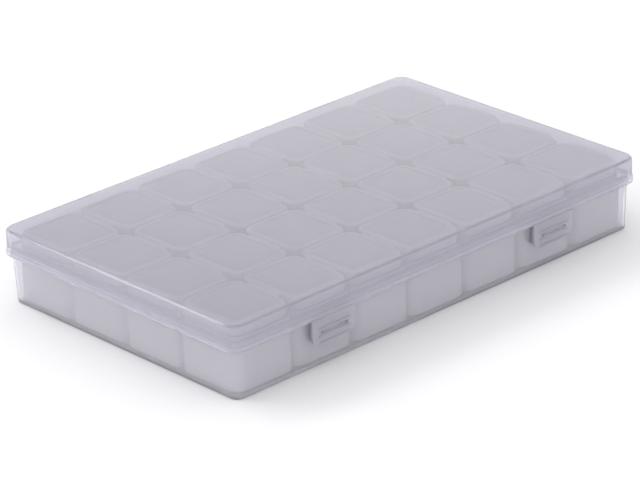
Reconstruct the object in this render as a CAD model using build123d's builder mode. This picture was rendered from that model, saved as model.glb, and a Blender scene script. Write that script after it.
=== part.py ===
# Flat sewing box of translucent moulded plastic. A hinged case holds seven lift-out trays side by side,
# and each tray is a row of four cups with its own flip lids.
# Millimetres, +Z up. The origin is the centre of the case's base face. +X runs along the case,
# -Y is the latched front and +Y the hinged back.
import os

from build123d import *

os.makedirs("parts", exist_ok=True)

# case, outside
case_length = 175.0
case_width = 108.0
case_height = 25.0
lid_corner = 4.5  # vertical corners of the lid
lid_wall = 1.2
lid_edge_round = 1.1  # between the lid's top and its skirt
skirt_z = 16.6  # lower edge of the lid's skirt
bead_height = 1.6  # thickened lower band of the skirt
bead_proud = 0.3

# case base
skirt_gap = 0.3  # all round, between the skirt and the base
base_rim_z = 19.0
base_draft = 0.6  # how much each side draws in from the rim to the foot
base_wall = 1.2
foot_round = 1.3
floor_round = 0.9
ledge_z = 15.3  # low rib that the skirt comes down towards
ledge_height = 0.8
ledge_proud = 0.5

# trays
tray_count = 7
cup_count = 4
tray_pitch = 24.0
tray_width = 23.7
cup_pitch = 25.2
cup_corner = 4.0
cup_wall = 0.9
notch_depth = 2.4  # of the notches in a tray's sides, between its rounded cups
tray_z = 1.3  # underside of a tray, just off the case's floor
tray_floor = 1.0
tray_rim_z = 19.2
tray_foot_round = 1.0
cup_floor_round = 2.2

# flip lids of the cups
flip_top_z = 23.0
flip_plate = 0.9
flip_skirt_z = 19.4
flip_wall = 0.9
flip_gap = 0.2  # between one flip lid and the next, on each side of the cup's boundary
flip_edge_round = 0.6
plug_inset = 1.4  # from the flip lid's outline to the plug ring that enters the cup
plug_wall = 0.6
plug_z = 18.2
film_radius = 0.5  # rounded edge at the film hinge
film_length = 14.0
film_gap = 0.1
rib_gap = 0.2  # between the tray's hinge rib and the flip lid's skirt

# hinge of the case lid: a clip on the lid turns on a moulded pin between two ears of the base
hinge_x = 52.0
hinge_y = 57.0
hinge_z = 13.0
pin_radius = 1.1
clip_bore_radius = 1.18
clip_radius = 2.2
clip_length = 10.0
clip_mouth = 1.9  # narrower than the pin, so the clip snaps over it
ear_radius = 2.4
ear_thickness = 2.6
ear_gap = 0.3

# latches
latch_x = 47.7
latch_width = 18.0
latch_bottom_z = 8.2
latch_film_z = 16.0
latch_thickness = 1.0
latch_gap = 0.8  # from the base's rim face to the latch's inner face
latch_corner = 2.6
window_length = 11.0
window_height = 1.3
window_z = 11.9
bar_length = 13.0
bar_height = 0.8
bar_proud = 0.35
bar_offset = 1.2  # each bar's centre above or below the window's centre
lug_length = 9.0
lug_height = 1.0
lug_gap = 0.2  # between the lug's tip and the latch

# derived places
base_length = case_length - 2 * (lid_wall + skirt_gap)
base_width = case_width - 2 * (lid_wall + skirt_gap)
base_corner = lid_corner - lid_wall - skirt_gap
tray_length = cup_count * cup_pitch
rib_inner = tray_width / 2 - cup_wall
film_x = tray_width / 2 - cup_wall / 2
film_z = flip_top_z - film_radius
flip_length = rib_inner - rib_gap + tray_width / 2
flip_shift = (rib_inner - rib_gap - tray_width / 2) / 2
flip_width = cup_pitch - 2 * flip_gap
latch_inner_y = -base_width / 2 - latch_gap
latch_outer_y = latch_inner_y - latch_thickness
tray_centres = [(i - (tray_count - 1) / 2) * tray_pitch for i in range(tray_count)]
cup_centres = [(j - (cup_count - 1) / 2) * cup_pitch for j in range(cup_count)]


def save(part, name):
    part.label = name
    export_step(part, f"parts/{name}.step")


# Case base: drafted tray-like shell with a rounded foot, a ledge under the skirt, two catch lugs in front
# and two pairs of hinge ears with their pins at the back.
with BuildPart() as case_base:
    with BuildSketch() as foot_outline:
        RectangleRounded(base_length - 2 * base_draft, base_width - 2 * base_draft, base_corner)
    with BuildSketch(Plane.XY.offset(base_rim_z)) as rim_outline:
        RectangleRounded(base_length, base_width, base_corner)
    loft()
    fillet(case_base.faces().sort_by(Axis.Z)[0].edges(), foot_round)
    with BuildSketch(Plane.XY.offset(ledge_z)) as ledge_outline:
        RectangleRounded(
            base_length + 2 * ledge_proud, base_width + 2 * ledge_proud, base_corner + ledge_proud
        )
    extrude(amount=ledge_height)
    for side in (-1, 1):
        with BuildSketch(Plane.XZ.offset(-latch_inner_y - lug_gap)) as lug_outline:
            with Locations((side * latch_x, window_z)):
                RectangleRounded(lug_length, lug_height, lug_height * 0.4)
        extrude(amount=-2.0)
        for end in (-1, 1):
            ear_x = side * hinge_x + end * (clip_length + ear_thickness + 2 * ear_gap) / 2
            with BuildSketch(Plane.YZ.offset(ear_x)) as ear_outline:
                with Locations((hinge_y, hinge_z)):
                    Circle(ear_radius)
                with Locations((base_width / 2 - 0.6, hinge_z - 1.1)):
                    Rectangle(0.6, 2 * ear_radius + 2.2)
                make_hull()
            extrude(amount=ear_thickness / 2, both=True)
        with BuildSketch(Plane.YZ.offset(side * hinge_x)) as pin_outline:
            with Locations((hinge_y, hinge_z)):
                Circle(pin_radius)
        extrude(amount=clip_length / 2 + ear_gap + ear_thickness / 2, both=True)
    with BuildSketch(Plane.XY.offset(base_wall)) as floor_outline:
        RectangleRounded(
            base_length - 2 * (base_draft + base_wall),
            base_width - 2 * (base_draft + base_wall),
            base_corner - base_wall,
        )
    with BuildSketch(Plane.XY.offset(base_rim_z)) as mouth_outline:
        RectangleRounded(
            base_length - 2 * base_wall, base_width - 2 * base_wall, base_corner - base_wall
        )
    loft(mode=Mode.SUBTRACT)
    floor_face = case_base.faces().filter_by(Plane.XY).filter_by(
        lambda face: abs(face.center().Z - base_wall) < 0.01
    )
    fillet(floor_face.edges(), floor_round)

save(case_base.part, "case_base")

# Case lid: shallow cap with a thickened band round its lower edge and two hinge clips at the back.
with BuildPart() as case_lid:
    with BuildSketch(Plane.XY.offset(skirt_z)) as cap_outline:
        RectangleRounded(case_length, case_width, lid_corner)
    extrude(amount=case_height - skirt_z)
    fillet(case_lid.faces().sort_by(Axis.Z)[-1].edges(), lid_edge_round)
    with BuildSketch(Plane.XY.offset(skirt_z)) as bead_outline:
        RectangleRounded(
            case_length + 2 * bead_proud, case_width + 2 * bead_proud, lid_corner + bead_proud
        )
    extrude(amount=bead_height)
    for side in (-1, 1):
        with BuildSketch(Plane.YZ.offset(side * hinge_x)) as clip_outline:
            with Locations((hinge_y, hinge_z)):
                Circle(clip_radius)
            with Locations((case_width / 2 - 0.4, skirt_z + 1.8)):
                Rectangle(0.8, 3.0)
            make_hull()
        extrude(amount=clip_length / 2, both=True)
        with BuildSketch(Plane.YZ.offset(side * hinge_x)) as clip_bore:
            with Locations((hinge_y, hinge_z)):
                Circle(clip_bore_radius)
            with Locations((hinge_y, hinge_z - clip_radius)):
                Rectangle(clip_mouth, 2 * clip_radius)
        extrude(amount=clip_length, both=True, mode=Mode.SUBTRACT)
    with BuildSketch(Plane.XY.offset(skirt_z)) as cap_hollow:
        RectangleRounded(
            case_length - 2 * lid_wall, case_width - 2 * lid_wall, lid_corner - lid_wall
        )
    extrude(amount=case_height - lid_wall - skirt_z, mode=Mode.SUBTRACT)
    ceiling_face = case_lid.faces().filter_by(Plane.XY).filter_by(
        lambda face: abs(face.center().Z - case_height + lid_wall) < 0.01
    )
    fillet(ceiling_face.edges(), 0.5)

save(case_lid.part, "case_lid")


# Latch: a flap that hangs from the lid's band on a film hinge. Its window goes over the base's catch lug,
# between two grip bars, and its lower edge has a finger lip.
def make_latch(x_mid):
    with BuildPart() as latch:
        with BuildSketch(Plane.XZ.offset(-latch_inner_y)) as flap_outline:
            with Locations((x_mid, (latch_bottom_z + latch_film_z) / 2)):
                Rectangle(latch_width, latch_film_z - latch_bottom_z)
            fillet(flap_outline.vertices().group_by(Axis.Y)[0], latch_corner)
        extrude(amount=latch_thickness)
        with BuildSketch(Plane.YZ.offset(x_mid)) as film_outline:
            with Locations(((latch_inner_y + latch_outer_y) / 2, latch_film_z)):
                Circle(latch_thickness / 2)
        extrude(amount=latch_width / 2, both=True)
        with BuildSketch(Plane.XZ.offset(-latch_outer_y)) as bar_outlines:
            for level in (window_z - bar_offset, window_z + bar_offset):
                with Locations((x_mid, level)):
                    RectangleRounded(bar_length, bar_height, bar_height * 0.45)
            with Locations((x_mid, latch_bottom_z + 0.4)):
                RectangleRounded(latch_width - 2 * latch_corner, 0.7, 0.3)
        extrude(amount=bar_proud)
        with BuildSketch(Plane.XZ.offset(-latch_inner_y)) as window_outline:
            with Locations((x_mid, window_z)):
                RectangleRounded(window_length, window_height, window_height * 0.45)
        extrude(amount=latch_thickness, mode=Mode.SUBTRACT)
    return latch.part


save(make_latch(-latch_x), "latch_left")
save(make_latch(latch_x), "latch_right")


# Tray: four round-cornered cups in a row, with a short hinge rib along the +X rim of each cup.
def make_tray(x_mid):
    with BuildPart() as tray:
        with BuildSketch(Plane((x_mid, 0, tray_z))) as cups_outline:
            with GridLocations(0, cup_pitch, 1, cup_count):
                RectangleRounded(tray_width, cup_pitch, cup_corner)
            Rectangle(tray_width - 2 * notch_depth, tray_length - 2 * cup_corner)
        extrude(amount=tray_rim_z - tray_z)
        fillet(tray.faces().sort_by(Axis.Z)[0].outer_wire().edges(), tray_foot_round)
        with BuildSketch(Plane((x_mid, 0, tray_rim_z))) as cup_mouths:
            with GridLocations(0, cup_pitch, 1, cup_count):
                RectangleRounded(
                    tray_width - 2 * cup_wall, cup_pitch - 2 * cup_wall, cup_corner - cup_wall
                )
        extrude(amount=-(tray_rim_z - tray_z - tray_floor), mode=Mode.SUBTRACT)
        cup_floors = tray.faces().filter_by(Plane.XY).filter_by(
            lambda face: abs(face.center().Z - tray_z - tray_floor) < 0.01
        )
        fillet(cup_floors.edges(), cup_floor_round)
        with BuildSketch(Plane((x_mid + film_x, 0, tray_rim_z))) as rib_outlines:
            with GridLocations(0, cup_pitch, 1, cup_count):
                Rectangle(cup_wall, film_length)
        extrude(amount=film_z - film_radius - film_gap - tray_rim_z)
    return tray.part


# Flip lid: a round-cornered cap with a plug ring inside, and a strap over the tray's rib to the film hinge.
def make_flip_lid(x_mid, y_mid):
    with BuildPart() as flip_lid:
        with BuildSketch(Plane((x_mid + flip_shift, y_mid, flip_skirt_z))) as flip_outline:
            RectangleRounded(flip_length, flip_width, cup_corner)
        extrude(amount=flip_top_z - flip_skirt_z)
        fillet(flip_lid.faces().sort_by(Axis.Z)[-1].edges(), flip_edge_round)
        with BuildSketch(Plane((x_mid + flip_shift, y_mid, flip_skirt_z))) as flip_hollow:
            RectangleRounded(
                flip_length - 2 * flip_wall, flip_width - 2 * flip_wall, cup_corner - flip_wall
            )
        extrude(amount=flip_top_z - flip_plate - flip_skirt_z, mode=Mode.SUBTRACT)
        with BuildSketch(Plane((x_mid + flip_shift, y_mid, plug_z))) as plug_outline:
            RectangleRounded(
                flip_length - 2 * plug_inset, flip_width - 2 * plug_inset, cup_corner - plug_inset
            )
            RectangleRounded(
                flip_length - 2 * (plug_inset + plug_wall),
                flip_width - 2 * (plug_inset + plug_wall),
                cup_corner - plug_inset - plug_wall,
                mode=Mode.SUBTRACT,
            )
        extrude(amount=flip_top_z - flip_plate / 2 - plug_z)
        with BuildSketch(Plane.XZ.offset(-y_mid)) as strap_outline:
            with Locations((x_mid + film_x, film_z)):
                Circle(film_radius)
            with Locations((x_mid + film_x - 1.0, flip_top_z - flip_plate / 2)):
                Rectangle(2.0, flip_plate)
        extrude(amount=film_length / 2, both=True)
    return flip_lid.part


for i, x_mid in enumerate(tray_centres, start=1):
    save(make_tray(x_mid), f"tray_{i}")
    for j, y_mid in enumerate(cup_centres, start=1):
        save(make_flip_lid(x_mid, y_mid), f"flip_lid_{i}_{j}")
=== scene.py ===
import bmesh
import bpy
import math
from mathutils import Matrix, Vector


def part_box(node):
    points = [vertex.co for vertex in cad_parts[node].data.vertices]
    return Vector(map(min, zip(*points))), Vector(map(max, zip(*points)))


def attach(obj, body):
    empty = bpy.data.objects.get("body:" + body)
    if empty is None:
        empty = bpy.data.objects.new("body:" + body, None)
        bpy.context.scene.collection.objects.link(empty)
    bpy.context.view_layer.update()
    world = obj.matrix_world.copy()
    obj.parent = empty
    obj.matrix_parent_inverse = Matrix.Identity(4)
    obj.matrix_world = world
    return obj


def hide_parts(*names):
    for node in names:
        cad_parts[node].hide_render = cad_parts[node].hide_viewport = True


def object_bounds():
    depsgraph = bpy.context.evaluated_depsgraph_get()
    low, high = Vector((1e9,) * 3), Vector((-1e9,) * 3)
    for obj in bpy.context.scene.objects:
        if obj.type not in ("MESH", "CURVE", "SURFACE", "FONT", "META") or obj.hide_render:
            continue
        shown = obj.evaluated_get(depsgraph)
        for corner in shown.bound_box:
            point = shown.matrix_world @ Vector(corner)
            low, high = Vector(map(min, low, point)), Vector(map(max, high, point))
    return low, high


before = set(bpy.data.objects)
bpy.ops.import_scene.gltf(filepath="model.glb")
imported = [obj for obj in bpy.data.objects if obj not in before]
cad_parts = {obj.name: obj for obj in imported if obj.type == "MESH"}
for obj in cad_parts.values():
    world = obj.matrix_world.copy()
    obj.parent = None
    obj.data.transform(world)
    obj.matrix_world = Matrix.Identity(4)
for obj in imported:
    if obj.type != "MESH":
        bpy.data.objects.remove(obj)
cadLow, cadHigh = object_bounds()
mm = 0.001
tiny = 0.01 * mm  # how closely a point has to lie to count as being on a plane
past = 1.0 * mm  # how far a cutter reaches beyond the face that it cuts
roundSteps = 40  # sides of a round that the eye can come close to
steep = 0.9  # share of a direction above which it counts as upright
print("frame loaded")


def pickOnly(*pieces):
    bpy.ops.object.select_all(action="DESELECT")
    for piece in pieces:
        piece.select_set(True)
    if pieces:
        bpy.context.view_layer.objects.active = pieces[0]


def beginEdit(piece):
    pickOnly(piece)
    bpy.ops.object.mode_set(mode="EDIT")


def endEdit():
    bpy.ops.object.mode_set(mode="OBJECT")


def select(piece, kind, test):
    # selects the points, edges or faces that pass the test, in edit mode
    bpy.ops.mesh.select_mode(type=kind)
    bpy.ops.mesh.select_all(action="DESELECT")
    mesh = bmesh.from_edit_mesh(piece.data)
    for item in {"VERT": mesh.verts, "EDGE": mesh.edges, "FACE": mesh.faces}[kind]:
        if test(item):
            item.select_set(True)
    bmesh.update_edit_mesh(piece.data)


def atHeight(z):
    return lambda item: all(abs(point.co.z - z) < tiny for point in item.verts)


def isUpright(edge):
    along = edge.verts[1].co - edge.verts[0].co
    return abs(along.z) > steep * along.length


def isLevel(face):
    return abs(face.normal.z) > steep


def facesOut(face):
    # on a wall rather than on top, and turned away from the middle of the case
    middle = face.calc_center_median()
    return abs(face.normal.z) < 0.5 and face.normal.x * middle.x + face.normal.y * middle.y > 0


def applyModifier(piece, kind, **settings):
    pickOnly(piece)
    modifier = piece.modifiers.new(kind.lower(), kind)
    for key, value in settings.items():
        setattr(modifier, key, value)
    bpy.ops.object.modifier_apply(modifier=modifier.name)


def combine(piece, other, operation):
    # a union or a cut, after which the other shape is gone
    applyModifier(piece, "BOOLEAN", object=other, operation=operation, solver="EXACT")
    bpy.data.objects.remove(other, do_unlink=True)


def roundedBlock(name, low, high, corner, topRound=0.0, footRound=0.0, footInset=0.0):
    # a block with rounded upright corners, and its top and foot edges rounded if asked
    low, high = Vector(low), Vector(high)
    middle, size = (low + high) / 2, high - low
    pickOnly()
    bpy.ops.mesh.primitive_cube_add(size=1, location=middle, scale=size)
    piece = bpy.context.object
    piece.name = piece.data.name = name
    bpy.ops.object.transform_apply(location=True, rotation=True, scale=True)
    beginEdit(piece)
    if footInset:
        select(piece, "VERT", lambda point: abs(point.co.z - low.z) < tiny)
        drawIn = (1 - 2 * footInset / size.x, 1 - 2 * footInset / size.y, 1)
        bpy.ops.transform.resize(value=drawIn, center_override=(middle.x, middle.y, low.z))
    select(piece, "EDGE", isUpright)
    bpy.ops.mesh.bevel(offset=corner, segments=8, affect="EDGES")
    for level, rounding in ((high.z, topRound), (low.z, footRound)):
        if rounding:
            select(piece, "EDGE", atHeight(level))
            bpy.ops.mesh.bevel(offset=rounding, segments=4, affect="EDGES")
    endEdit()
    return piece


def hollow(piece, openLevel, wall):
    # takes the face at openLevel away and gives the rest a wall that grows inwards
    beginEdit(piece)
    select(piece, "FACE", atHeight(openLevel))
    bpy.ops.mesh.delete(type="FACE")
    endEdit()
    applyModifier(piece, "SOLIDIFY", thickness=wall, offset=-1, use_even_offset=True)


def raiseBand(piece, bottom, top, proud):
    # thickens the outside of a wall between two heights
    beginEdit(piece)
    for level in (bottom, top):
        bpy.ops.mesh.select_all(action="SELECT")
        bpy.ops.mesh.bisect(plane_co=(0, 0, level), plane_no=(0, 0, 1))
    inBand = lambda face: bottom - tiny < face.calc_center_median().z < top + tiny
    select(piece, "FACE", lambda face: inBand(face) and facesOut(face))
    bpy.ops.mesh.extrude_region_move()
    bpy.ops.transform.shrink_fatten(value=proud, use_even_offset=True)
    endEdit()


def addRod(name, middle, radius, length, along="X", steps=roundSteps):
    # a round bar along X or Y
    turn = (0, math.pi / 2, 0) if along == "X" else (math.pi / 2, 0, 0)
    pickOnly()
    bpy.ops.mesh.primitive_cylinder_add(
        vertices=steps, radius=radius, depth=length, location=middle, rotation=turn
    )
    rod = bpy.context.object
    rod.name = rod.data.name = name
    bpy.ops.object.transform_apply(location=True, rotation=True, scale=True)
    return rod


def stretch(piece, test, shift):
    # moves the points that pass the test
    beginEdit(piece)
    select(piece, "VERT", test)
    bpy.ops.transform.translate(value=shift)
    endEdit()


def addBlock(name, low, high, edgeRound=0.0, edges=None):
    # a block, with the edges that pass the test rounded
    low, high = Vector(low), Vector(high)
    pickOnly()
    bpy.ops.mesh.primitive_cube_add(size=1, location=(low + high) / 2, scale=high - low)
    block = bpy.context.object
    block.name = block.data.name = name
    bpy.ops.object.transform_apply(location=True, rotation=True, scale=True)
    if edgeRound:
        beginEdit(block)
        select(block, "EDGE", edges or (lambda edge: True))
        bpy.ops.mesh.bevel(offset=edgeRound, segments=5, affect="EDGES")
        endEdit()
    return block


def joinTo(piece, others):
    pickOnly(piece, *others)
    bpy.ops.object.join()


def copyOf(piece, name, shift):
    pickOnly(piece)
    bpy.ops.object.duplicate(linked=False)
    twin = bpy.context.object
    twin.name = twin.data.name = name
    twin.location = shift
    bpy.ops.object.transform_apply(location=True, rotation=False, scale=False)
    return twin


def softenEdges(piece, width):
    # the small radius that a mould leaves on every edge
    sharp = math.radians(40)  # bends gentler than this are already round
    applyModifier(piece, "BEVEL", width=width, segments=2, limit_method="ANGLE", angle_limit=sharp)
    pickOnly(piece)
    bpy.ops.object.shade_smooth_by_angle(angle=math.radians(32))


def place(piece, body, node, material):
    piece.data.materials.clear()
    piece.data.materials.append(material)
    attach(piece, body)
    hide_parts(node)


def linearColour(hexColour):
    # sRGB hex to the linear values that a shader takes
    parts = [int(hexColour[k : k + 2], 16) / 255 for k in (1, 3, 5)]
    return tuple(p / 12.92 if p <= 0.04045 else ((p + 0.055) / 1.055) ** 2.4 for p in parts) + (1.0,)


def addNode(tree, kind, inputs=None, **settings):
    node = tree.nodes.new(kind)
    for key, value in settings.items():
        setattr(node, key, value)
    for socket, value in (inputs or {}).items():
        if isinstance(value, bpy.types.NodeSocket):
            tree.links.new(value, node.inputs[socket])
        else:
            node.inputs[socket].default_value = value
    return node


plasticSettings = {
    "ior": 1.49,  # polypropylene
    "highlightStarts": 0.98,  # how level a face is, as the height of its normal, where the painted highlight starts
    "highlightFull": 0.5,  # and where it is in full
    # mm over which the painted highlight on a raised ring fades in
    "paintedRingFade": 0.1,
    "grainLow": 0.3,  # the noise runs mostly between these two
    "grainHigh": 0.7,
}
noPaintedRing = 99.0  # a height above every piece, for those that get no painted highlight on a raised ring
mixFrom, mixTo, mixed = 6, 7, 2  # the colour sockets of a Mix node, which share their names with others


def mouldedPlastic(name, look):
    # injection moulded polypropylene, with a painted highlight: a lighter colour on walls, rounded
    # edges and raised rings; slow waves where it flowed and a fine grain off the tool
    s = plasticSettings
    material = bpy.data.materials.new(name)
    material.use_nodes = True
    tree = material.node_tree
    tree.nodes.clear()
    spot = addNode(tree, "ShaderNodeTexCoord")
    flow = addNode(
        tree,
        "ShaderNodeTexNoise",
        {"Vector": spot.outputs["Object"], "Scale": 1 / (look["flowSize"] * mm), "Detail": 2.0},
    ).outputs["Fac"]
    grain = addNode(
        tree,
        "ShaderNodeTexNoise",
        {"Vector": spot.outputs["Object"], "Scale": 1 / (look["grainSize"] * mm), "Detail": 1.0},
    ).outputs["Fac"]
    normal = addNode(tree, "ShaderNodeSeparateXYZ", {"Vector": spot.outputs["Normal"]})
    level = addNode(
        tree, "ShaderNodeMath", {0: normal.outputs["Z"]}, operation="ABSOLUTE"
    ).outputs["Value"]
    # painted highlight on walls and rounded edges: the colour lightens as a face turns away from level
    paintedWallHighlight = addNode(
        tree,
        "ShaderNodeMapRange",
        {
            "Value": level,
            "From Min": s["highlightStarts"],
            "From Max": s["highlightFull"],
            "To Min": 0.0,
            "To Max": 1.0,
        },
    ).outputs["Result"]
    point = addNode(tree, "ShaderNodeSeparateXYZ", {"Vector": spot.outputs["Object"]})
    # painted highlight on a raised ring: above a given height the colour lightens
    paintedRing = addNode(
        tree,
        "ShaderNodeMapRange",
        {
            "Value": point.outputs["Z"],
            "From Min": look["paintedRingFrom"] * mm,
            "From Max": (look["paintedRingFrom"] + s["paintedRingFade"]) * mm,
            "To Min": 0.0,
            "To Max": 1.0,
        },
    ).outputs["Result"]
    # where the painted highlight goes: walls, rounded edges and raised rings
    rim = addNode(
        tree, "ShaderNodeMath", {0: paintedWallHighlight, 1: paintedRing}, operation="MAXIMUM"
    ).outputs["Value"]
    panelColour = addNode(
        tree,
        "ShaderNodeMix",
        {0: flow, mixFrom: linearColour(look["denseColour"]), mixTo: linearColour(look["thinColour"])},
        data_type="RGBA",
    ).outputs[mixed]
    # lays the lighter painted highlight colour over the flow-tinted colour
    colour = addNode(
        tree,
        "ShaderNodeMix",
        {0: rim, mixFrom: panelColour, mixTo: linearColour(look["paintedHighlightColour"])},
        data_type="RGBA",
    ).outputs[mixed]
    roughness = addNode(
        tree,
        "ShaderNodeMapRange",
        {
            "Value": grain,
            "From Min": s["grainLow"],
            "From Max": s["grainHigh"],
            "To Min": look["roughness"] - look["roughnessSpread"],
            "To Max": look["roughness"] + look["roughnessSpread"],
        },
    ).outputs["Result"]
    wave = addNode(
        tree, "ShaderNodeBump", {"Height": flow, "Distance": look["flowDepth"] * mm, "Strength": 1.0}
    ).outputs["Normal"]
    surface = addNode(
        tree,
        "ShaderNodeBump",
        {"Height": grain, "Distance": look["grainDepth"] * mm, "Strength": 1.0, "Normal": wave},
    ).outputs["Normal"]
    shader = addNode(
        tree,
        "ShaderNodeBsdfPrincipled",
        {
            "Base Color": colour,
            "Roughness": roughness,
            "Normal": surface,
            "IOR": s["ior"],
            "Transmission Weight": look["seeThrough"],
        },
    ).outputs["BSDF"]
    addNode(tree, "ShaderNodeOutputMaterial", {"Surface": shader})
    return material


clarifiedPolypropylene = mouldedPlastic(
    "clarifiedPolypropylene",  # the case lid: polished in the mould, so the cups show through its haze
    {
        "denseColour": "#d7d5df",
        "thinColour": "#dad8e2",
        # painted highlight colour for walls and rounded edges
        "paintedHighlightColour": "#eceaf4",
        "paintedRingFrom": noPaintedRing,
        "roughness": 0.08,
        "roughnessSpread": 0.02,
        "seeThrough": 0.76,
        "flowSize": 28,
        "flowDepth": 0.008,
        "grainSize": 0.8,
        "grainDepth": 0.0002,
    },
)
frostedPolypropylene = mouldedPlastic(
    "frostedPolypropylene",  # the case base: a satin mould, so a soft and milky skin
    {
        "denseColour": "#f4f2fb",
        "thinColour": "#f7f5fd",
        # painted highlight colour for walls and rounded edges
        "paintedHighlightColour": "#f8f6fd",
        "paintedRingFrom": noPaintedRing,
        "roughness": 0.09,
        "roughnessSpread": 0.02,
        "seeThrough": 0.76,
        "flowSize": 28,
        "flowDepth": 0.01,
        "grainSize": 0.8,
        "grainDepth": 0.0002,
    },
)
satinPolypropylene = mouldedPlastic(
    "satinPolypropylene",  # the latches: solid flaps, so milkier than the walls behind them
    {
        "denseColour": "#d0ced9",
        "thinColour": "#d4d2dd",
        # painted highlight colour for walls and rounded edges
        "paintedHighlightColour": "#dad8e2",
        "paintedRingFrom": noPaintedRing,
        "roughness": 0.12,
        "roughnessSpread": 0.02,
        "seeThrough": 0.6,
        "flowSize": 28,
        "flowDepth": 0.01,
        "grainSize": 0.8,
        "grainDepth": 0.0002,
    },
)
naturalPolypropylene = mouldedPlastic(
    "naturalPolypropylene",  # the trays and flip lids: thin and glossy, with a painted highlight on walls and on the flip lids' raised ring
    {
        "denseColour": "#e2e0ea",
        "thinColour": "#e6e4ee",
        # painted highlight colour for walls, rounded edges and the flip lids' raised ring
        "paintedHighlightColour": "#fdfcff",
        # height in mm above which the flip lids' raised ring gets the painted highlight
        "paintedRingFrom": 22.7,
        "roughness": 0.1,
        "roughnessSpread": 0.02,
        "seeThrough": 0.3,
        "flowSize": 14,
        "flowDepth": 0.008,
        "grainSize": 0.8,
        "grainDepth": 0.0002,
    },
)
print("materials made")


lidSizes = {
    "corner": 4.5,
    "edgeRound": 1.1,
    "wall": 1.2,
    "skirtDepth": 8.4,
    "bandHeight": 1.6,
    "bandProud": 0.3,
    "softEdge": 0.2,
}
hingeSizes = {
    "middleX": 52.0,
    "axisY": 57.0,
    "axisZ": 13.0,
    "pinRadius": 1.1,
    "clipRadius": 2.2,
    "clipLength": 10.0,
    "clipGrip": 1.8,
    "boreRadius": 1.18,
    "mouth": 1.9,
    "earDrop": 2.2,
    "earRadius": 2.4,
    "earThickness": 2.6,
    "earGap": 0.3,
}
lidLow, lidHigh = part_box("case_lid")
lidTop = lidHigh.z
skirtBottom = lidTop - lidSizes["skirtDepth"] * mm
lidHalfLength = lidHigh.x - lidSizes["bandProud"] * mm
lidHalfWidth = -lidLow.y - lidSizes["bandProud"] * mm


def makeClip(middleX):
    # a C-shaped clip that hangs from the skirt and turns on the base's pin
    s = hingeSizes
    axis = Vector((middleX, s["axisY"] * mm, s["axisZ"] * mm))
    radius = s["clipRadius"] * mm
    clip = addRod("clip", axis, radius, s["clipLength"] * mm)
    reach = Vector((0, lidHalfWidth - axis.y + radius / 2, skirtBottom - axis.z + s["clipGrip"] * mm))
    lean = reach.normalized()
    stretch(clip, lambda point: (point.co - axis).dot(lean) > radius / 2, reach - lean * radius / 2)
    bore = addRod("bore", axis, s["boreRadius"] * mm, 2 * s["clipLength"] * mm)
    combine(clip, bore, "DIFFERENCE")
    half = Vector((s["clipLength"], s["mouth"] / 2, 0)) * mm
    mouth = addBlock("mouth", axis - half - Vector((0, 0, 2 * radius)), axis + half)
    combine(clip, mouth, "DIFFERENCE")
    return clip


def makeCaseLid():
    s = lidSizes
    lid = roundedBlock(
        "caseLid",
        (-lidHalfLength, -lidHalfWidth, skirtBottom),
        (lidHalfLength, lidHalfWidth, lidTop),
        s["corner"] * mm,
        topRound=s["edgeRound"] * mm,
    )
    hollow(lid, skirtBottom, s["wall"] * mm)
    raiseBand(lid, skirtBottom, skirtBottom + s["bandHeight"] * mm, s["bandProud"] * mm)
    softenEdges(lid, s["softEdge"] * mm)
    clips = [makeClip(side * hingeSizes["middleX"] * mm) for side in (-1, 1)]
    for clip in clips:
        softenEdges(clip, s["softEdge"] * mm)
    joinTo(lid, clips)
    return lid


caseLid = makeCaseLid()
place(caseLid, "case_lid", "case_lid", clarifiedPolypropylene)
print("case lid made")


baseSizes = {
    "gap": 0.3,
    "wall": 1.2,
    "draft": 0.6,
    "footRound": 0.3,
    "ledgeBottom": 15.3,
    "ledgeHeight": 0.8,
    "ledgeProud": 0.5,
    "lugLength": 10.2,
    "lugHeight": 0.9,
    "lugProud": 0.2,  # past the lid, into the latch's window
    "softEdge": 0.2,
}
latchSizes = {
    "middleX": 47.7,
    "thickness": 1.0,
    "corner": 2.6,
    "windowLength": 11.0,
    "windowHeight": 1.0,
    "windowLevel": 11.9,
    "windowRound": 0.45,  # share of the window's height
    "barLength": 13.0,
    "barHeight": 0.8,
    "barProud": 0.35,
    "barOffset": 1.2,
    "barRound": 0.4,  # share of a bar's height
    "lipHeight": 0.7,
    "lipLevel": 0.4,
    "softEdge": 0.12,
}
baseLow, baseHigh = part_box("case_base")


def makeEar(middleX):
    # a rounded lug on the back wall that holds one end of a pin
    s = hingeSizes
    axis = Vector((middleX, s["axisY"] * mm, s["axisZ"] * mm))
    wall = lidHalfWidth - (lidSizes["wall"] + baseSizes["gap"] + baseSizes["wall"] / 2) * mm
    ear = addRod("ear", axis, s["earRadius"] * mm, s["earThickness"] * mm)
    towardsWall = lambda point: point.co.y < axis.y - tiny
    stretch(ear, towardsWall, (0, wall - axis.y + s["earRadius"] * mm, 0))
    lowAtWall = lambda point: towardsWall(point) and point.co.z < axis.z
    stretch(ear, lowAtWall, (0, 0, -s["earDrop"] * mm))
    return ear


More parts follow.
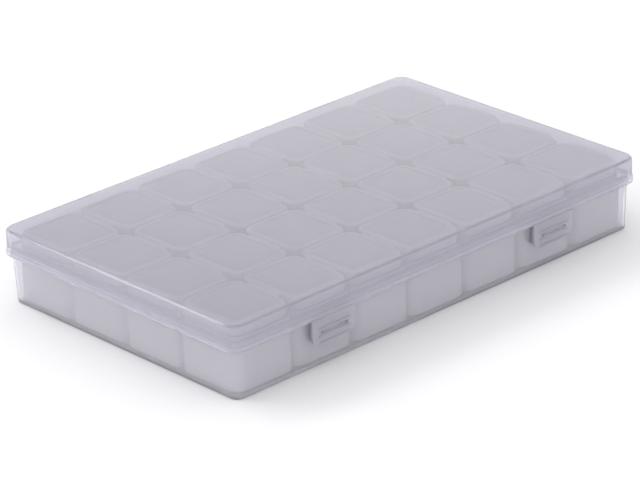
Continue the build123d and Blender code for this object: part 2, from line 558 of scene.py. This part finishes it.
def makeCaseBase():
    s = baseSizes
    inset = (lidSizes["wall"] + s["gap"]) * mm
    halfLength, halfWidth = lidHalfLength - inset, lidHalfWidth - inset
    base = roundedBlock(
        "caseBase",
        (-halfLength, -halfWidth, baseLow.z),
        (halfLength, halfWidth, baseHigh.z),
        lidSizes["corner"] * mm - inset,
        footRound=s["footRound"] * mm,
        footInset=s["draft"] * mm,
    )
    hollow(base, baseHigh.z, s["wall"] * mm)
    ledgeBottom = s["ledgeBottom"] * mm
    raiseBand(base, ledgeBottom, ledgeBottom + s["ledgeHeight"] * mm, s["ledgeProud"] * mm)
    softenEdges(base, s["softEdge"] * mm)
    h = hingeSizes
    fittings = []
    for side in (-1, 1):
        middleX = side * h["middleX"] * mm
        earShift = (h["clipLength"] + h["earThickness"] + 2 * h["earGap"]) / 2 * mm
        fittings += [makeEar(middleX - earShift), makeEar(middleX + earShift)]
        pinMiddle = (middleX, h["axisY"] * mm, h["axisZ"] * mm)
        fittings.append(addRod("pin", pinMiddle, h["pinRadius"] * mm, 2 * earShift, steps=32))
        half = Vector((s["lugLength"] / 2, 0, s["lugHeight"] / 2)) * mm
        lugLevel = latchSizes["windowLevel"] * mm
        lugX, lugY = side * latchSizes["middleX"] * mm, -lidHalfWidth - s["lugProud"] * mm
        lugFront = Vector((lugX, lugY, lugLevel))
        lugRoot = Vector((0, lidHalfWidth - halfWidth + s["wall"] / 2 * mm, 0))
        fittings.append(addBlock("lug", lugFront - half, lugFront + half + lugRoot))
    for fitting in fittings:
        softenEdges(fitting, s["softEdge"] * mm)
    joinTo(base, fittings)
    return base


caseBase = makeCaseBase()
place(caseBase, "case_base", "case_base", frostedPolypropylene)
print("case base made")


def makeLatch(node):
    s = latchSizes
    low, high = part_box(node)
    middleX = (low.x + high.x) / 2
    front = low.y + s["barProud"] * mm
    filmLevel = high.z - s["thickness"] / 2 * mm
    runsThrough = lambda edge: abs(edge.verts[0].co.y - edge.verts[1].co.y) > tiny
    isLowerCorner = lambda edge: atHeight(low.z)(edge) and runsThrough(edge)
    latch = addBlock(
        "latch", (low.x, front, low.z), (high.x, high.y, filmLevel), s["corner"] * mm, isLowerCorner
    )
    filmMiddle = (middleX, (front + high.y) / 2, filmLevel)
    film = addRod("film", filmMiddle, s["thickness"] / 2 * mm, high.x - low.x, steps=32)
    combine(latch, film, "UNION")
    windowHalf = Vector((s["windowLength"] / 2, 0, s["windowHeight"] / 2)) * mm
    windowMiddle = Vector((middleX, 0, s["windowLevel"] * mm))
    window = addBlock(
        "window",
        windowMiddle - windowHalf + Vector((0, low.y - past, 0)),
        windowMiddle + windowHalf + Vector((0, high.y + past, 0)),
        s["windowHeight"] * s["windowRound"] * mm,
        runsThrough,
    )
    combine(latch, window, "DIFFERENCE")
    softenEdges(latch, s["softEdge"] * mm)
    ribs = [
        (s["windowLevel"] - s["barOffset"], s["barLength"], s["barHeight"]),
        (s["windowLevel"] + s["barOffset"], s["barLength"], s["barHeight"]),
        (low.z / mm + s["lipLevel"], (high.x - low.x) / mm - 2 * s["corner"], s["lipHeight"]),
    ]
    bars = []
    for level, length, height in ribs:
        half = Vector((length / 2, 0, height / 2)) * mm
        middle = Vector((middleX, low.y, level * mm))
        bar = addBlock("bar", middle - half, middle + half + Vector((0, 2 * s["barProud"] * mm, 0)))
        softenEdges(bar, height * s["barRound"] * mm)
        bars.append(bar)
    joinTo(latch, bars)
    return latch


for side, node in (("Left", "latch_left"), ("Right", "latch_right")):
    latch = makeLatch(node)
    latch.name = latch.data.name = "latch" + side
    place(latch, node, node, satinPolypropylene)
print("latches made")


flipSizes = {
    "corner": 4.0,
    "edgeRound": 0.6,
    "wall": 0.9,
    "skirtHeight": 3.6,
    "panelInset": 1.9,
    "panelDepth": 0.25,
    "plugInset": 1.4,
    "plugWall": 0.6,
    "filmRadius": 0.5,
    "filmLength": 14.0,
    "filmReach": 1.15,  # from the skirt to the far side of the film's rounded edge
    "strapInset": 0.04,  # keeps the strap's faces off the skirt's, so that the two unite
    "strapRoot": 0.6,  # share of the wall that the strap reaches into
    "softEdge": 0.12,
}


def makeFlipLid(node):
    s = flipSizes
    low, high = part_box(node)
    skirtLow = high.z - s["skirtHeight"] * mm
    skirtEnd = high.x - s["filmReach"] * mm
    corner = s["corner"] * mm
    lid = roundedBlock(
        "flipLid", (low.x, low.y, skirtLow), (skirtEnd, high.y, high.z), corner, s["edgeRound"] * mm
    )
    hollow(lid, skirtLow, s["wall"] * mm)
    inset = Vector((s["plugInset"], s["plugInset"], 0)) * mm
    plug = roundedBlock(
        "plug",
        low + inset,
        Vector((skirtEnd, high.y, high.z - s["wall"] / 2 * mm)) - inset,
        corner - s["plugInset"] * mm,
    )
    beginEdit(plug)
    select(plug, "FACE", isLevel)
    bpy.ops.mesh.delete(type="FACE")
    endEdit()
    applyModifier(plug, "SOLIDIFY", thickness=s["plugWall"] * mm, offset=-1, use_even_offset=True)
    combine(lid, plug, "UNION")
    filmRadius = s["filmRadius"] * mm
    filmMiddle = Vector((high.x - filmRadius, (low.y + high.y) / 2, high.z - filmRadius))
    halfLength = Vector((0, s["filmLength"] / 2 * mm, 0))
    strapInset = Vector((s["wall"] * s["strapRoot"], 0, s["strapInset"])) * mm
    strap = addBlock(
        "strap",
        Vector((skirtEnd, filmMiddle.y, high.z - s["wall"] * mm)) - halfLength - strapInset,
        Vector((filmMiddle.x + strapInset.x, filmMiddle.y, high.z)) + halfLength - strapInset,
    )
    combine(lid, strap, "UNION")
    film = addRod("film", filmMiddle, filmRadius, 2 * halfLength.y, along="Y", steps=24)
    combine(lid, film, "UNION")
    panelInset = s["panelInset"] * mm
    panel = roundedBlock(
        "panel",
        (low.x + panelInset, low.y + panelInset, high.z - s["panelDepth"] * mm),
        (skirtEnd - panelInset, high.y - panelInset, high.z + past),
        corner - panelInset,
    )
    combine(lid, panel, "DIFFERENCE")
    softenEdges(lid, s["softEdge"] * mm)
    return lid


flipNodes = sorted(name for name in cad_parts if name.startswith("flip_lid"))
firstFlip = makeFlipLid(flipNodes[0])
for node in flipNodes:
    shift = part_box(node)[0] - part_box(flipNodes[0])[0]
    flipLid = copyOf(firstFlip, node.replace("flip_lid", "flipLid"), shift)
    place(flipLid, node, node, naturalPolypropylene)
bpy.data.objects.remove(firstFlip, do_unlink=True)
print("flip lids made")


traySizes = {
    "cups": 4,
    "corner": 4.0,
    "wall": 0.9,
    "floor": 1.0,
    "notchDepth": 2.4,
    "footRound": 1.0,
    "cupFloorRound": 2.2,
    "ribHeight": 2.7,
    "ribLength": 14.0,
    "ribRoot": 1.0,  # how far a rib reaches down into the cup's wall
    "softEdge": 0.15,
    "overlap": 0.02,  # by which one cup reaches into the next, so that they join
}


def makeTray(node):
    s = traySizes
    low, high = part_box(node)
    rim = high.z - s["ribHeight"] * mm
    pitch = (high.y - low.y) / s["cups"]
    corner, wall, overlap = s["corner"] * mm, s["wall"] * mm, s["overlap"] * mm
    steps = [Vector((0, k * pitch, 0)) for k in range(s["cups"])]
    tray = roundedBlock(
        "tray",
        (low.x, low.y, low.z),
        (high.x, low.y + pitch + overlap, rim),
        corner,
        footRound=s["footRound"] * mm,
    )
    cups = [copyOf(tray, "cup", step) for step in steps[1:-1]]
    cups.append(
        roundedBlock(
            "cup",
            (low.x, high.y - pitch, low.z),
            (high.x, high.y, rim),
            corner,
            footRound=s["footRound"] * mm,
        )
    )
    inset = Vector((s["notchDepth"], s["corner"], 0)) * mm
    cups.append(addBlock("spine", low + inset, Vector((high.x, high.y, rim)) - inset))
    for cup in cups:
        combine(tray, cup, "UNION")
    pocket = roundedBlock(
        "pocket",
        (low.x + wall, low.y + wall, low.z + s["floor"] * mm),
        (high.x - wall, low.y + pitch - wall, rim + past),
        corner - wall,
        footRound=s["cupFloorRound"] * mm,
    )
    for cup in [copyOf(pocket, "pocket", step) for step in steps]:
        combine(tray, cup, "DIFFERENCE")
    bpy.data.objects.remove(pocket, do_unlink=True)
    softenEdges(tray, s["softEdge"] * mm)
    ribs = []
    for step in steps:
        middle = low.y + step.y + pitch / 2
        half, root = s["ribLength"] / 2 * mm, s["ribRoot"] * mm
        ribs.append(
            addBlock("rib", (high.x - wall, middle - half, rim - root), (high.x, middle + half, high.z))
        )
    for rib in ribs:
        softenEdges(rib, s["softEdge"] * mm)
    joinTo(tray, ribs)
    return tray


trayNodes = sorted(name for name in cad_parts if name.startswith("tray"))
firstTray = makeTray(trayNodes[0])
for node in trayNodes:
    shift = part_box(node)[0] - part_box(trayNodes[0])[0]
    tray = copyOf(firstTray, node.replace("tray_", "tray"), shift)
    place(tray, node, node, naturalPolypropylene)
bpy.data.objects.remove(firstTray, do_unlink=True)
print("trays made")


studio = {
    "floorColour": "#e6e6e8",
    "floorSize": 8.0,
    "floorDrop": 0.05,
    "cardRoughness": 0.9,
    "worldColour": "#ffffff",
    "worldStrength": 1.15,
    "keyPower": 8.0,
    "keyPlace": (-0.5, 1.0, 0.99),
    "keyAlong": (0.89, 0.0, 0.45),
    "keyLength": 1.4,
    "keyWidth": 0.4,
    "bounces": 32,
    "cameraAim": (-2.6, -0.2, 9.0),
    "cameraDistance": 1104.0,
    "cameraAzimuth": -42.6,
    "cameraElevation": 24.03,
    "cameraRoll": -2.08,
    "cameraLens": 196.2,
    "cameraSensor": 36.0,
}


def makeStudio():
    s = studio
    pickOnly()
    floorLevel = cadLow.z - s["floorDrop"] * mm
    bpy.ops.mesh.primitive_plane_add(size=s["floorSize"], location=(0, 0, floorLevel))
    floor = bpy.context.object
    floor.name = "studioFloor"
    paper = bpy.data.materials.new("paleCard")  # matt white card
    paper.use_nodes = True
    card = paper.node_tree.nodes["Principled BSDF"]
    card.inputs["Base Color"].default_value = linearColour(s["floorColour"])
    card.inputs["Roughness"].default_value = s["cardRoughness"]
    floor.data.materials.append(paper)
    world = bpy.data.worlds.new("studioWorld")
    world.use_nodes = True
    sky = world.node_tree.nodes["Background"]
    sky.inputs["Color"].default_value = linearColour(s["worldColour"])
    sky.inputs["Strength"].default_value = s["worldStrength"]
    bpy.context.scene.world = world
    bpy.ops.object.light_add(type="AREA", location=s["keyPlace"])
    key = bpy.context.object
    key.name = "keySoftbox"
    key.data.energy = s["keyPower"]
    key.data.shape = "RECTANGLE"
    key.data.size = s["keyLength"]
    key.data.size_y = s["keyWidth"]
    away = Vector(s["keyPlace"]).normalized()
    across = away.cross(Vector(s["keyAlong"])).normalized()  # square to the softbox's long side
    key.rotation_euler = Matrix((across.cross(away), across, away)).transposed().to_euler()


def makeCamera():
    s = studio
    azimuth, elevation, roll = (
        math.radians(s[angle]) for angle in ("cameraAzimuth", "cameraElevation", "cameraRoll")
    )
    back = Vector(
        (
            math.sin(azimuth) * math.cos(elevation),
            -math.cos(azimuth) * math.cos(elevation),
            math.sin(elevation),
        )
    )
    camera = bpy.data.objects.new("camera", bpy.data.cameras.new("camera"))
    bpy.context.scene.collection.objects.link(camera)
    camera.location = Vector(s["cameraAim"]) * mm + back * s["cameraDistance"] * mm
    turn = back.to_track_quat("Z", "Y").to_matrix() @ Matrix.Rotation(roll, 3, "Z")
    camera.rotation_euler = turn.to_euler()
    camera.data.lens = s["cameraLens"]
    camera.data.sensor_width = s["cameraSensor"]
    bpy.context.scene.camera = camera


makeStudio()
makeCamera()
bpy.context.scene.view_settings.view_transform = "Standard"
bpy.context.scene.cycles.max_bounces = studio["bounces"]
bpy.context.scene.cycles.transmission_bounces = studio["bounces"]
print("studio made")
